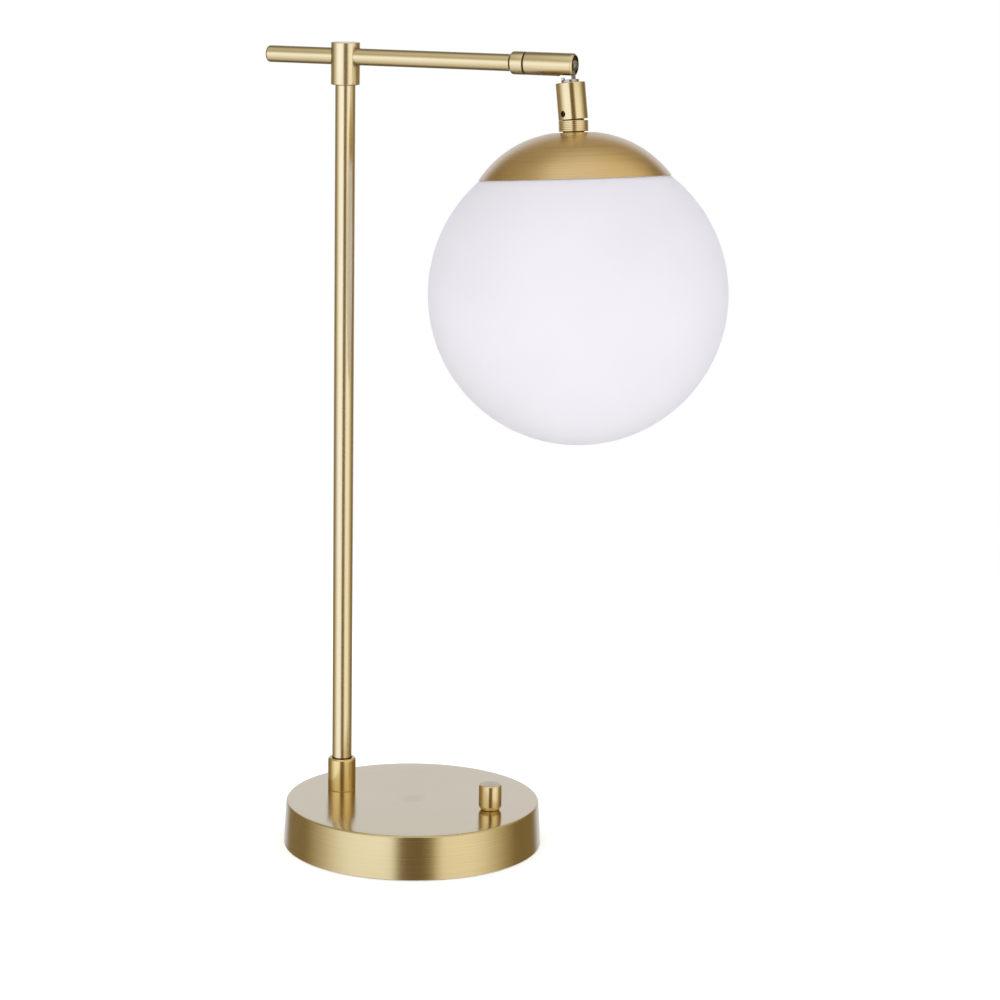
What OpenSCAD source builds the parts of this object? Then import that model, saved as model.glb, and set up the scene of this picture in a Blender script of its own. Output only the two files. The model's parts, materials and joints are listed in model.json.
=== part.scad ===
// Globe table lamp: a weighted round base, a straight post, a cross arm and a swivelling head.
// The origin is on the table under the middle of the base, +X runs along the arm to the globe.

/* [Overall] */
// Height from the table to the top of the tee
lamp_h = 558.8; // [460:0.1:700]
// Distance from the base's edge in to the post's axis
post_inset = 35.1; // [30:0.1:45]
// Distance from the post's axis out to the swivel's pivot
reach = 166.1; // [150:0.1:190]

/* [Base] */
// Radius of the cover at its foot
base_r = 90.7; // [88:0.1:110]
// How much smaller the cover is at its top edge
base_taper = 1.6; // [0.4:0.1:4]
// Height of the cover's top face above the table
base_h = 31; // [28:0.5:40]
// Radius of the cover's rolled top edge
base_edge_r = 1.6; // [0.8:0.1:3]
// Thickness of the spun cover
cover_wall = 1.2; // [0.8:0.1:2]
// Slit left between the cover's foot and the table
cover_lift = 0.6; // [0.4:0.1:1.2]
// Thickness of the felt pad that the lamp stands on
pad_t = 1.4; // [1.3:0.1:3]
// How far the pad stays inside the cover's foot
pad_inset = 5; // [3:0.5:10]
// Thickness of the bottom plate
plate_t = 1.2; // [0.8:0.1:2]
// Space between the bottom plate and the cover's wall
plate_gap = 0.7; // [0.4:0.1:2]
// Height of the cast ballast
ballast_h = 17; // [12:0.5:18]
// Space between the ballast and the cover's wall
ballast_gap = 4.5; // [2:0.5:8]
// Distance from the base's edge in to the bottom screws
screw_inset = 24.7; // [20:0.1:28]
// Shank radius of the bottom screws
screw_r = 2; // [1.5:0.1:2.5]
// Length of the bottom screws
screw_l = 12; // [8:0.5:14]

/* [Cord inlet] */
// Height of the inlet's axis above the table
inlet_z = 12; // [11:0.5:16]
// Radius of the inlet's bore
inlet_bore_r = 3.3; // [2.5:0.1:4]
// Wall of the inlet bush
inlet_wall = 1.6; // [1.2:0.1:2.2]
// Length of the bush inside its flange
inlet_l = 11; // [8:0.5:14]
// Thickness of the bush's outer flange
inlet_flange_t = 1.6; // [1:0.1:2.5]

/* [Post] */
// Outer radius of the post
post_r = 6.95; // [6.2:0.05:8]
// Wall of the post
post_wall = 1.2; // [0.8:0.1:1.4]
// Outer radius of the sleeve on the base
sleeve_r = 9.9; // [9:0.1:12]
// Height of the sleeve
sleeve_h = 23.5; // [20:0.5:40]
// Floor of the sleeve under the post
sleeve_floor = 3; // [2:0.5:6]
// Gap that shows as a dark seam between the sleeve and the post
sleeve_seam = 0.35; // [0.2:0.05:0.6]
// Outer radius of the threaded rods in the post and in the head
rod_r = 4.85; // [4.6:0.05:5.1]
// Radius of the wire bore through the threaded rods
rod_bore_r = 3.5; // [3:0.1:3.7]

/* [Arm] */
// Distance from the arm's axis up to the top of the tee
arm_below_top = 9.7; // [8:0.1:13]
// Outer radius of the arm
arm_r = 5.73; // [5.2:0.01:6]
// Wall of the arm
arm_wall = 1; // [0.8:0.1:1.3]
// How far the arm runs on behind the post
arm_back = 58.8; // [30:0.1:90]
// Outer radius of the tee
tee_r = 9.95; // [9.4:0.05:12]
// Height of the tee
tee_h = 28.8; // [27:0.1:40]
// Outer radius of the arm's end collar and of the swivel housing
housing_r = 7.7; // [7.6:0.05:8.5]
// Length of the end collar
collar_l = 10.3; // [8:0.1:16]
// Width of the groove between the collar and the housing
groove_w = 1.2; // [0.8:0.1:2]
// Length of the swivel housing
housing_l = 34.4; // [33.5:0.1:50]
// Wall of the housing
housing_wall = 1.5; // [1.3:0.1:1.6]
// Chamfer round the housing's open end
housing_chamfer = 0.6; // [0.3:0.1:0.8]

/* [Swivel] */
// Turn of the housing about the arm's own axis as stored
arm_roll = 3.26; // [0:0.01:6]
// Tilt of the coupler out of the plumb line as stored
coupler_tilt = 7.62; // [0:0.01:12]
// Distance from the pivot to the housing's open end
housing_nose = 2; // [1.7:0.05:3]
// Radius of the swivel's ball
ball_r = 3.9; // [3.6:0.05:4.2]
// Radius of the ball's stem
stem_r = 1.4; // [1.3:0.05:1.7]
// Offset of the stem from the coupler's axis
stem_offset = 2.6; // [2:0.1:3]
// Width of the slot in the housing's underside
slot_w = 6.6; // [5:0.1:8]
// Length of the slot behind the pivot
slot_back = 9.6; // [9.5:0.1:12]
// Length of the seat behind the ball's centre
seat_l = 13.6; // [12:0.1:15]
// Thickness of the ring that holds the ball from the front
front_ring_t = 1.4; // [1:0.1:1.6]
// Length of one disc spring
spring_h = 2.2; // [1.6:0.1:2.6]
// Distance from the ball's centre down to the coupler's top
coupler_drop = 11.36; // [11:0.01:14]
// Outer radius of the coupler
coupler_r = 9.9; // [9.3:0.01:11]
// Height of the coupler
coupler_h = 24.15; // [22:0.01:32]
// Radius of the hub on the coupler
hub_r = 5.9; // [5.6:0.1:6.4]
// Height of the hub
hub_h = 2; // [1:0.1:2]
// Height of the stop lug above the coupler's top
lug_rise = 3.7; // [2.6:0.1:4]
// Height of the stop screw above the coupler's lower face
stop_screw_up = 3.75; // [3.2:0.05:4.5]
// Place of the stop screw round the coupler
stop_screw_turn = -110; // [-180:5:180]
// Radius of the stop screw
stop_screw_r = 1.5; // [1.2:0.1:1.6]
// Radius of the thin cable inside the post, the arm and the swivel
cable_r = 0.75; // [0.5:0.05:0.8]

/* [Head neck] */
// Gap between the coupler and the head's bending point
neck_gap = 0.3; // [0.2:0.05:0.5]
// Gap left where the clamp ring comes closest to the coupler
seam_gap = 0.1; // [0.08:0.01:0.4]
// Bend between the coupler and the head
neck_bend = 3.44; // [0:0.01:3.6]
// Depth that the threaded rod reaches into the coupler
neck_in = 9; // [7.5:0.5:10]
// Outer radius of the clamp ring
ring_r = 9.95; // [9:0.05:10.2]
// Height of the clamp ring
ring_h = 7.2; // [6:0.1:12]
// Number of fine grooves round the clamp ring
ring_grooves = 5; // [3:1:6]
// Radius of the washers above and below the clamp ring
washer_r = 7.2; // [6.4:0.1:8]
// Thickness of the washers
washer_t = 0.8; // [0.6:0.1:1.5]

/* [Dome] */
// How much smaller the dome's rim is than the globe, as a radius
rim_inset = 35.9; // [30:0.1:42]
// Height of the dome from its flat top to its rim
dome_h = 29.7; // [29:0.1:34]
// Thickness of the spun dome
dome_wall = 0.7; // [0.5:0.05:0.9]
// Vertical half axis of the dome's curve
dome_axis_h = 101.5; // [90:0.5:115]
// Exponent of the dome's curve, where 2 is an ellipse
dome_power = 2.265; // [2.1:0.005:2.4]
// How far the flat top cuts into the curve
dome_flat = 0.83; // [0.6:0.01:1.2]

/* [Globe] */
// Outer radius of the glass globe
globe_r = 100; // [95:0.1:104]
// Thickness of the opal glass
glass_wall = 2; // [1.6:0.1:3]
// Gap between the dome's rim and the glass
rim_gap = 0.25; // [0.2:0.05:0.5]
// Radius of the opening in the globe's neck
opening_r = 32; // [31:0.1:33]
// Wall of the globe's neck
neck_wall = 2.6; // [2:0.1:2.8]
// Wall of the metal collar round the neck
collar_wall = 0.9; // [0.7:0.1:1]
// Width of the bayonet lugs on the collar
lug_w = 2; // [1.8:0.1:2.2]
// Height of the bayonet lugs and hooks
lug_h = 1; // [0.8:0.1:1.1]
// Length of each lug round the collar
lug_turn = 20; // [12:1:30]
// Length of each hook round the carrier
hook_turn = 26; // [16:1:34]
// Thickness of the carrier's sheet
carrier_wall = 1; // [0.8:0.1:1.1]

/* [Socket and bulb] */
// Outer radius of the socket's body
socket_r = 17; // [16:0.1:19]
// Height of the socket's body
socket_h = 36; // [33:0.5:42]
// Distance from the dome's flat top down to the socket's cap
socket_drop = 8.5; // [8:0.1:12]
// Height of the socket's cap
socket_cap_h = 12; // [9:0.5:16]
// Inside radius of the screw shell
screw_shell_r = 13.3; // [13.2:0.05:13.6]
// Length of the screw shell
screw_shell_h = 25; // [22:0.5:27]
// Radius of the bulb
bulb_r = 30; // [25:0.5:40]
// Length of the bulb below the socket
bulb_l = 84; // [75:0.5:110]
// Thickness of the bulb's glass
bulb_wall = 0.9; // [0.6:0.1:1.5]

/* [Knob] */
// Distance from the base's edge in to the knob's axis
knob_inset = 31.2; // [28:0.1:40]
// Radius of the knob
knob_r = 8.05; // [7.4:0.05:12]
// Height of the knob above the base
knob_h = 18.2; // [16:0.1:26]
// Height of the undercut at the knob's foot
knob_foot_h = 2.8; // [1.5:0.1:3.5]
// How far the knob's foot is undercut
knob_undercut = 1.5; // [0.6:0.1:1.6]
// Gap between the knob's foot and the base
knob_gap = 0.25; // [0.2:0.05:0.6]
// Radius of the dimmer's shaft
shaft_r = 3; // [2.8:0.05:3.2]
// Outer radius of the dimmer's threaded bushing
bushing_r = 3.5; // [3.3:0.05:3.7]
// Width of the dimmer's square case
dimmer_w = 26; // [22:0.5:28]
// Height of the dimmer's case
dimmer_h = 15; // [12:0.5:16]

/* [Hidden] */
$fn = 96;
// Radial clearance of pieces that slide or turn on each other
fit = 0.05;
// Gap between rounded faces that only lie near each other
clear = 0.3;
eps = 0.01;
bevel = 0.6;

post_back = base_r - post_inset;
pivot_out = reach - post_back;
knob_out = base_r - knob_inset;
screw_ring_r = base_r - screw_inset;
arm_z = lamp_h - arm_below_top;
tee_bottom = lamp_h - tee_h;
plate_z = pad_t;
ballast_z = plate_z + plate_t;
ballast_top = ballast_z + ballast_h;
cover_top_r = base_r - base_taper;
cover_inner_h = base_h - cover_wall;
sleeve_top = base_h + sleeve_h;
post_foot = base_h + sleeve_floor;
tee_web = 2.6;
plug_t = 2.4;
post_top = arm_z - arm_r - tee_web;
housing_x = pivot_out + housing_nose - housing_l;
collar_x = housing_x - groove_w - collar_l;
housing_bore_r = housing_r - housing_wall;
pin_r = arm_r - arm_wall - fit;
pin_bore_r = pin_r - 1.6;
groove_depth = 1.2;
web_t = 3;
wave_t = 1.2;
pin_nut_t = 3.5;
back_plug_t = 3;
spring_t = 0.7;
spring_hole_r = 2.6;
web_x = housing_x + web_t;
pin_nut_x = web_x + wave_t;
pin_end_x = pin_nut_x + pin_nut_t + 1;
seat_x = pivot_out - seat_l;
seat_face_x = pivot_out - clear;
back_plug_x = seat_x - 2 * spring_h - back_plug_t;

// Distances in the coupler's own frame, measured down from the ball's centre
coupler_low = coupler_drop + coupler_h;
roof_h = 4;
stem_nut_h = 2.4;
lug_t = 1.2;
lug_w_side = 1.8;
cavity_r = hub_r + 0.3;
cavity_top = coupler_drop + roof_h;
cavity_low = coupler_low + neck_gap - neck_in - 1;
edge_break = 0.15;

// Distances in the head's own frame, measured down from its bending point
ring_top = ring_r * sin(neck_bend) + seam_gap - neck_gap;
ring_low = ring_top + ring_h;
dome_top = ring_low + washer_t;
dome_rim = dome_top + dome_h;
dome_rim_r = globe_r - rim_inset;
rim_inner_r = dome_rim_r - dome_wall;
globe_drop = dome_rim + sqrt(pow(globe_r + rim_gap, 2) - pow(rim_inner_r, 2));
groove_low = stop_screw_up + neck_gap - stop_screw_r - clear;
groove_high = stop_screw_up + neck_gap + stop_screw_r + clear;
washer_recess_h = washer_t - ring_top - neck_gap + washer_r * sin(neck_bend) + clear;
rod_groove_r = rod_r - 0.7;
ring_pitch = (ring_h - 2 * bevel) / ring_grooves;
carrier_hub_r = 12;
carrier_r = opening_r + neck_wall + collar_wall + lug_w + clear + carrier_wall + fit;
nut_h = 4;
nut_r = 8;
thread_l = 12;
socket_top = dome_top + socket_drop;
socket_collar_h = 4;
body_top = socket_top + socket_collar_h + 2;
body_low = body_top + socket_h;
shell_low = body_low - 1;
shell_top = shell_low - screw_shell_h;
rod_low = socket_top + socket_collar_h;
base_contact = shell_top + 2.2;
bulb_centre = body_low + bulb_l - bulb_r;

dimmer_top = cover_inner_h;
dimmer_low = dimmer_top - dimmer_h;
dimmer_room = 2;
nut_t = 2;
spindle_r = shaft_r - 1;
spindle_low = dimmer_low + 4;
bushing_top = base_h + nut_t + 2;
shaft_low = bushing_top + 0.5;
shaft_flat = 0.8;
shaft_top = base_h + knob_h - 3;
lead_rise = 4.4;
lead_r = 1.1;
post_lead_gap = 2.1;
socket_lead_r = 0.9;
lead_pitch = 2;

// Places inside the base
post_boss_r = sleeve_r + 3;
bush_r = inlet_bore_r + inlet_wall;
flange_r = bush_r + 1.8;
inlet_channel_w = 2 * (bush_r + 1);
cable_groove_w = 6;
cable_groove_h = 4;
nut_z = ballast_z + 4;
lead_z = ballast_top + lead_rise;
dimmer_side_x = knob_out - dimmer_w / 2;
dimmer_lead_z = lead_z - 2;
channel_end_x = -post_back - post_boss_r - 1;
post_pass_y = post_boss_r + lead_r + post_lead_gap;
floor_z = ballast_z + cable_r + 0.4;
lamp_lead_x = knob_out - dimmer_w / 4;

BRASS = "#c9b078";
DARK_BRASS = "#a98d55";
STEEL = "#b9bcc0";
CAST_IRON = "#4a4c50";
BLACK = "#26262a";
WHITE = "#f2f2f4";

// Frames of the pieces
module at_post() translate([-post_back, 0, 0]) children();
module at_knob() translate([knob_out, 0, 0]) children();
module along_arm(x) translate([x, 0, arm_z]) rotate([0, 90, 0]) children();
module at_pivot() translate([pivot_out, 0, arm_z]) rotate([-arm_roll, 0, 0]) children();
module at_stem() at_pivot() rotate([0, -coupler_tilt, 0]) children();
module at_coupler() at_stem() translate([-stem_offset, 0, 0]) children();
module at_head() at_coupler() translate([0, 0, -coupler_low - neck_gap])
    rotate([0, neck_bend, 0]) children();
module at_stop_screw() at_coupler() translate([0, 0, -coupler_low + stop_screw_up])
    rotate([0, 0, stop_screw_turn]) rotate([0, 90, 0]) children();
module at_screws() for (turn = [30, 150, 270]) rotate(turn) translate([screw_ring_r, 0, 0])
    children();

// Shapes that repeat
module turned(points) rotate_extrude() polygon(points);
module ring(r_out, r_in, z_low, z_high) translate([0, 0, z_low]) difference() {
    cylinder(r = r_out, h = z_high - z_low);
    translate([0, 0, -1]) cylinder(r = r_in, h = z_high - z_low + 2);
}
module bevelled_rod(r, h, low, high) turned([[0, 0], [r - low, 0], [r, low], [r, h - high],
    [r - high, h], [0, h]]);
module bore(r, z_low, z_high) translate([0, 0, z_low]) cylinder(r = r, h = z_high - z_low);
module hex_nut(r, r_in, z_low, z_high) difference() {
    translate([0, 0, z_low]) cylinder(r = r, h = z_high - z_low, $fn = 6);
    bore(r_in, z_low - 1, z_high + 1);
}
module sector(r_out, r_in, z_low, z_high, turn) intersection() {
    ring(r_out, r_in, z_low, z_high);
    translate([0, 0, z_low - 1]) linear_extrude(z_high - z_low + 2)
        polygon([[0, 0], [2 * r_out * cos(turn / 2), -2 * r_out * sin(turn / 2)],
            [2 * r_out * cos(turn / 2), 2 * r_out * sin(turn / 2)]]);
}

// A cable swept along a list of points, with its corners eased
function unit(v) = v / norm(v);
function eased(p, r) = concat([p[0]], [for (i = [1:len(p) - 2]) for (s = [0:4])
    let (t = s / 4, a = p[i] + unit(p[i - 1] - p[i]) * r, c = p[i] + unit(p[i + 1] - p[i]) * r)
    (1 - t) * (1 - t) * a + 2 * t * (1 - t) * p[i] + t * t * c], [p[len(p) - 1]]);
function heading(p, i) = i == 0 ? unit(p[1] - p[0])
    : i == len(p) - 1 ? unit(p[i] - p[i - 1])
    : unit(unit(p[i + 1] - p[i]) + unit(p[i] - p[i - 1]));
function side(p, i) = let (d = heading(p, i),
    s = i == 0 ? [0.1, 1, 0.2] : side(p, i - 1)) unit(s - (s * d) * d);
module cable(p, r) {
    n = len(p);
    m = 8;
    rings = [for (i = [0:n - 1]) let (d = heading(p, i), s = side(p, i), u = cross(d, s))
        for (j = [0:m - 1]) p[i] + r * (cos(j * 360 / m) * s + sin(j * 360 / m) * u)];
    walls = [for (i = [0:n - 2]) for (j = [0:m - 1]) for (k = [0, 1])
        let (a = i * m + j, b = i * m + (j + 1) % m)
        k == 0 ? [a, a + m, b + m] : [a, b + m, b]];
    ends = [for (j = [1:m - 2]) for (k = [0, 1])
        k == 0 ? [0, j, j + 1] : [(n - 1) * m, (n - 1) * m + j + 1, (n - 1) * m + j]];
    polyhedron(points = rings, faces = concat(walls, ends));
}

// Curve of the dome, as a radius at a depth under its flat top
function curve_r(depth) = pow(1 - pow((dome_axis_h - dome_flat - depth) / dome_axis_h, dome_power),
    1 / dome_power);
function dome_r(depth) = dome_rim_r * curve_r(depth) / curve_r(dome_h);
function dome_points(steps) = [for (i = [0:steps]) let (depth = dome_h * pow(i / steps, 1.6))
    [dome_r(depth), -dome_top - depth]];
function inner_points(steps) = [for (i = [steps:-1:0]) let (depth = dome_h * pow(i / steps, 1.6))
    [dome_r(depth) - dome_wall * (0.35 + 0.65 * i / steps),
        -dome_top - depth - dome_wall * (i == steps ? 0 : 1 - 0.45 * i / steps)]];

// Base
module foot_pad() color(BLACK) cylinder(r = base_r - pad_inset, h = pad_t);

module bottom_plate() color(STEEL) difference() {
    translate([0, 0, plate_z]) cylinder(r = base_r - cover_wall - plate_gap, h = plate_t);
    at_screws() translate([0, 0, plate_z - eps])
        cylinder(r1 = screw_r + plate_t + fit, r2 = screw_r + fit, h = plate_t + 2 * eps);
}

module plate_screws() color(STEEL) at_screws() turned([[0, plate_z], [screw_r + plate_t, plate_z],
    [screw_r, ballast_z], [screw_r, plate_z + screw_l], [0, plate_z + screw_l]]);

module ballast() color(CAST_IRON) difference() {
    union() {
        translate([0, 0, ballast_z])
            cylinder(r = base_r - cover_wall - ballast_gap, h = ballast_h);
        at_post() bore(post_boss_r, ballast_z, cover_inner_h);
    }
    at_post() bore(rod_r + clear, 0, base_h);
    at_post() bore(nut_r + 2, 0, nut_z + nut_h);
    translate([-post_back, -cable_groove_w / 2, 0])
        cube([dimmer_side_x + post_back, cable_groove_w, ballast_z + cable_groove_h]);
    at_knob() translate([-dimmer_w / 2 - dimmer_room, -dimmer_w / 2 - dimmer_room, 0])
        cube([dimmer_w + 2 * dimmer_room, dimmer_w + 2 * dimmer_room, base_h]);
    at_screws() bore(screw_r + fit, 0, plate_z + screw_l + 1);
    translate([-base_r, -inlet_channel_w / 2, 0])
        cube([post_inset - post_boss_r - 1, inlet_channel_w, base_h]);
}

module base_cover() color(BRASS) difference() {
    turned(concat([[base_r - cover_wall, cover_lift], [base_r, cover_lift]],
        [for (a = [0:10:90]) [cover_top_r - base_edge_r * (1 - cos(a)),
            base_h - base_edge_r * (1 - sin(a))]],
        [[0, base_h], [0, cover_inner_h], [cover_top_r - base_edge_r - cover_wall / 2, cover_inner_h],
            [cover_top_r - cover_wall, base_h - base_edge_r]]));
    at_post() bore(rod_r + clear, cover_inner_h - 1, base_h + 1);
    at_knob() bore(bushing_r + clear / 2, cover_inner_h - 1, base_h + 1);
    translate([-base_r, 0, inlet_z]) rotate([0, 90, 0])
        bore(inlet_bore_r + inlet_wall + fit, -1, inlet_l);
}

module cord_bush() color(BLACK) translate([-base_r, 0, inlet_z]) rotate([0, 90, 0])
    turned([[inlet_bore_r, -inlet_flange_t], [flange_r - bevel, -inlet_flange_t],
        [flange_r, -inlet_flange_t / 2], [flange_r, 0], [bush_r, 0], [bush_r, inlet_l],
        [inlet_bore_r, inlet_l]]);

// Cables held inside the lamp
supply_way = [[-base_r + inlet_l + 1.5, 0, inlet_z], [channel_end_x - 5, 0, inlet_z],
    [channel_end_x - lead_r - 2, 0, lead_z], [-post_back - post_boss_r / 2, post_pass_y, lead_z],
    [dimmer_side_x - dimmer_room - 6, dimmer_w / 4, lead_z],
    [dimmer_side_x - dimmer_room - 3, dimmer_w / 6, dimmer_lead_z],
    [dimmer_side_x - 0.1, dimmer_w / 6, dimmer_lead_z]];
module supply_cable() color(WHITE) cable(eased(supply_way, 2), lead_r);

lamp_way = [[lamp_lead_x, 0, dimmer_low - 0.1], [lamp_lead_x, 0, floor_z + 4],
    [dimmer_side_x - dimmer_room, 0, floor_z], [-post_back, 0, floor_z], [-post_back, 0, arm_z],
    [pin_end_x - 1, 0, arm_z]];
module lamp_cable() color(WHITE) cable(eased(lamp_way, 1.8), cable_r);

// Dimmer and knob
module dimmer_body() color(BLACK) at_knob() difference() {
    union() {
        translate([-dimmer_w / 2, -dimmer_w / 2, dimmer_low])
            cube([dimmer_w, dimmer_w, dimmer_h]);
        bore(bushing_r, dimmer_top - 1, bushing_top);
    }
    bore(spindle_r + fit, spindle_low, bushing_top + 1);
}

module dimmer_nut() color(STEEL) at_knob()
    hex_nut(bushing_r + 1.7, bushing_r + fit, base_h, base_h + nut_t);

module dimmer_shaft() color(STEEL) at_knob() {
    bore(spindle_r, spindle_low + 0.5, shaft_low);
    difference() {
        bore(shaft_r, shaft_low, shaft_top);
        translate([shaft_r - shaft_flat, -shaft_r, shaft_low + 1.5])
            cube([shaft_r, 2 * shaft_r, knob_h]);
    }
}

module knob() color(BRASS) at_knob() difference() {
    turned([[0, base_h + knob_gap], [knob_r - knob_undercut, base_h + knob_gap],
        [knob_r, base_h + knob_foot_h], [knob_r, base_h + knob_h - bevel],
        [knob_r - bevel, base_h + knob_h], [0, base_h + knob_h]]);
    bore(bushing_r + 2, base_h, bushing_top + 1);
    difference() {
        bore(shaft_r + fit, base_h + 1, shaft_top + 0.5);
        translate([shaft_r - shaft_flat + fit, -shaft_r, shaft_low + 1.5])
            cube([shaft_r, 2 * shaft_r, knob_h]);
    }
}

// Post
module post_rod() color(STEEL) at_post() ring(rod_r, rod_bore_r, nut_z - 1.5, post_foot + thread_l);

module post_nut() color(STEEL) at_post()
    hex_nut(nut_r, rod_r + fit, nut_z, nut_z + nut_h);

module post_insert() color(STEEL) at_post()
    ring(post_r - post_wall - fit, rod_r + fit / 2, post_foot, post_foot + thread_l);

module post_sleeve() color(BRASS) at_post() difference() {
    translate([0, 0, base_h]) bevelled_rod(sleeve_r, sleeve_h, 0.3, 1);
    bore(post_r + sleeve_seam, post_foot, sleeve_top + 1);
    bore(rod_r + clear / 2, base_h - 1, post_foot + 1);
}

module post_tube() color(BRASS) at_post() ring(post_r, post_r - post_wall, post_foot, post_top);

module tee_collar() color(BRASS) difference() {
    at_post() translate([0, 0, tee_bottom]) bevelled_rod(tee_r, tee_h, bevel, bevel);
    at_post() bore(post_r + fit, tee_bottom - 1, post_top);
    at_post() bore(rod_bore_r, tee_bottom, arm_z);
    along_arm(-post_back - tee_r - 1) bore(arm_r + fit, 0, 2 * tee_r + 2);
}

// Arm
module arm_tube() color(BRASS) difference() {
    along_arm(-post_back - arm_back + plug_t)
        ring(arm_r, arm_r - arm_wall, 0, collar_x + collar_l + post_back + arm_back - plug_t);
    at_post() bore(rod_bore_r - 0.5, arm_z - arm_r - 2, arm_z);
}

module arm_end_plug() color(BRASS) along_arm(-post_back - arm_back) {
    turned([[0, 0], [arm_r - 1.6, 0], [arm_r - 0.7, 0.35], [arm_r - 0.2, 1.1], [arm_r, plug_t],
        [pin_r, plug_t], [pin_r, plug_t + 6], [0, plug_t + 6]]);
}

module arm_collar() color(BRASS) along_arm(collar_x) difference() {
    bevelled_rod(housing_r, collar_l, 1.4, 0.3);
    bore(arm_r + fit, -1, collar_l + 1);
}

// Hollow pin that the housing turns on, fixed in the arm's end
module pivot_pin() color(STEEL) along_arm(0)
    ring(pin_r, pin_bore_r, collar_x + 1, pin_end_x);

module groove_washer() color(BLACK) along_arm(0)
    ring(housing_r - groove_depth, pin_r + fit / 2, collar_x + collar_l, housing_x);

module spring_washer() color(STEEL) along_arm(0)
    ring(housing_bore_r - clear, pin_r + fit / 2, web_x, pin_nut_x);

module pin_nut() color(STEEL) along_arm(0)
    hex_nut(housing_bore_r - clear, pin_r + fit / 2, pin_nut_x, pin_nut_x + pin_nut_t);

// Swivel housing with the parts that hold the ball
module swing_slot(half_w, x_low, x_high, z_low, z_high) at_pivot()
    translate([x_low, -half_w, z_low]) cube([x_high - x_low, 2 * half_w, z_high - z_low]);

module swivel_housing() color(BRASS) difference() {
    along_arm(housing_x) bevelled_rod(housing_r, housing_l, 0.3, housing_chamfer);
    along_arm(0) bore(pin_r + fit, housing_x - 1, web_x + 1);
    along_arm(0) bore(housing_bore_r, web_x, pivot_out + housing_l);
    along_arm(0) translate([0, 0, pivot_out + housing_nose - 0.5])
        cylinder(r1 = housing_bore_r, r2 = housing_bore_r + 0.7, h = 0.5 + eps);
    swing_slot(slot_w / 2, -slot_back, housing_l, -housing_r - 1, 0);
}

module back_plug() color(DARK_BRASS) along_arm(0)
    ring(housing_bore_r - fit, spring_hole_r - 0.2, back_plug_x, back_plug_x + back_plug_t);

module disc_spring() turned([[spring_hole_r, 0], [housing_bore_r - clear, spring_h - spring_t],
    [housing_bore_r - clear, spring_h], [spring_hole_r, spring_t]]);

module disc_springs() color(STEEL) {
    along_arm(seat_x - 2 * spring_h) disc_spring();
    along_arm(seat_x) mirror([0, 0, 1]) disc_spring();
}

module rear_seat() color(DARK_BRASS) difference() {
    along_arm(0) bore(housing_bore_r - fit, seat_x, seat_face_x);
    along_arm(0) bore(cable_r + clear, seat_x - 1, pivot_out);
    at_pivot() sphere(r = ball_r + fit);
    swing_slot(stem_r + clear, -slot_back, seat_l, -housing_r, stem_r + clear);
}

module front_ring() color(DARK_BRASS) difference() {
    along_arm(0) bore(housing_bore_r - fit, seat_face_x, seat_face_x + front_ring_t);
    at_pivot() sphere(r = ball_r + fit);
    swing_slot(stem_r + clear, -slot_back, seat_l, -housing_r, stem_r + clear);
}

module housing_cable() color(WHITE) along_arm(0)
    bore(cable_r, pin_end_x, pivot_out - ball_r - 0.6);

// Swivel
module swivel_ball() color(STEEL) at_stem() difference() {
    union() {
        sphere(r = ball_r);
        bore(stem_r, -cavity_top - stem_nut_h - 1, -1);
    }
    bore(cable_r + fit, -cavity_top - 5, 0.8);
    rotate([0, coupler_tilt, 0]) rotate([0, -90, 0])
        cylinder(r1 = cable_r + fit, r2 = cable_r + 1.2, h = ball_r + 1);
}

module stem_nut() color(STEEL) at_stem() rotate(30)
    hex_nut(stem_r + 1.7, stem_r + fit, -cavity_top - stem_nut_h, -cavity_top);

module swivel_coupler() color(BRASS) difference() {
    at_coupler() union() {
        translate([0, 0, -coupler_low]) bevelled_rod(coupler_r, coupler_h, edge_break, 0.5);
        translate([0, 0, -coupler_drop - 0.5]) bevelled_rod(hub_r, hub_h + 0.5, 0.1, 0.4);
        intersection() {
            translate([0, 0, -coupler_drop]) bore(hub_r, 0, lug_rise);
            translate([-hub_r, -lug_w_side / 2, -coupler_drop - 1])
                cube([lug_t, lug_w_side, lug_rise + 2]);
        }
    }
    at_coupler() bore(cavity_r, -cavity_low, -cavity_top);
    at_coupler() bore(washer_r + clear, -coupler_low - 1, -coupler_low + washer_recess_h);
    at_stem() bore(stem_r + fit, -cavity_top - 1, 0);
    at_head() bore(rod_r + fit, -neck_gap - 2, neck_in + 1.5);
    at_stop_screw() bore(stop_screw_r + fit, rod_r - 0.5, coupler_r + 1);
    at_stop_screw() translate([0, 0, coupler_r - 0.55])
        cylinder(r1 = stop_screw_r + fit, r2 = stop_screw_r + 0.85, h = 0.7);
}

module stop_screw() color(STEEL) at_stop_screw() difference() {
    bore(stop_screw_r, rod_groove_r + clear, coupler_r - 1.3);
    translate([0, 0, coupler_r - 2.6]) cylinder(r = stop_screw_r * 0.6, h = 2, $fn = 6);
}

module stem_cable() color(WHITE) at_stem() bore(cable_r, -cavity_top - stem_nut_h - 2, 0);

// Neck of the head
module head_rod() color(STEEL) at_head()
    turned([[rod_bore_r, -rod_low], [rod_r, -rod_low], [rod_r, groove_low], [rod_groove_r, groove_low],
        [rod_groove_r, groove_high], [rod_r, groove_high], [rod_r, neck_in], [rod_bore_r, neck_in]]);

module upper_washer() color(DARK_BRASS) at_head()
    ring(washer_r, rod_r + fit, -ring_top, -ring_top + washer_t);

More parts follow.
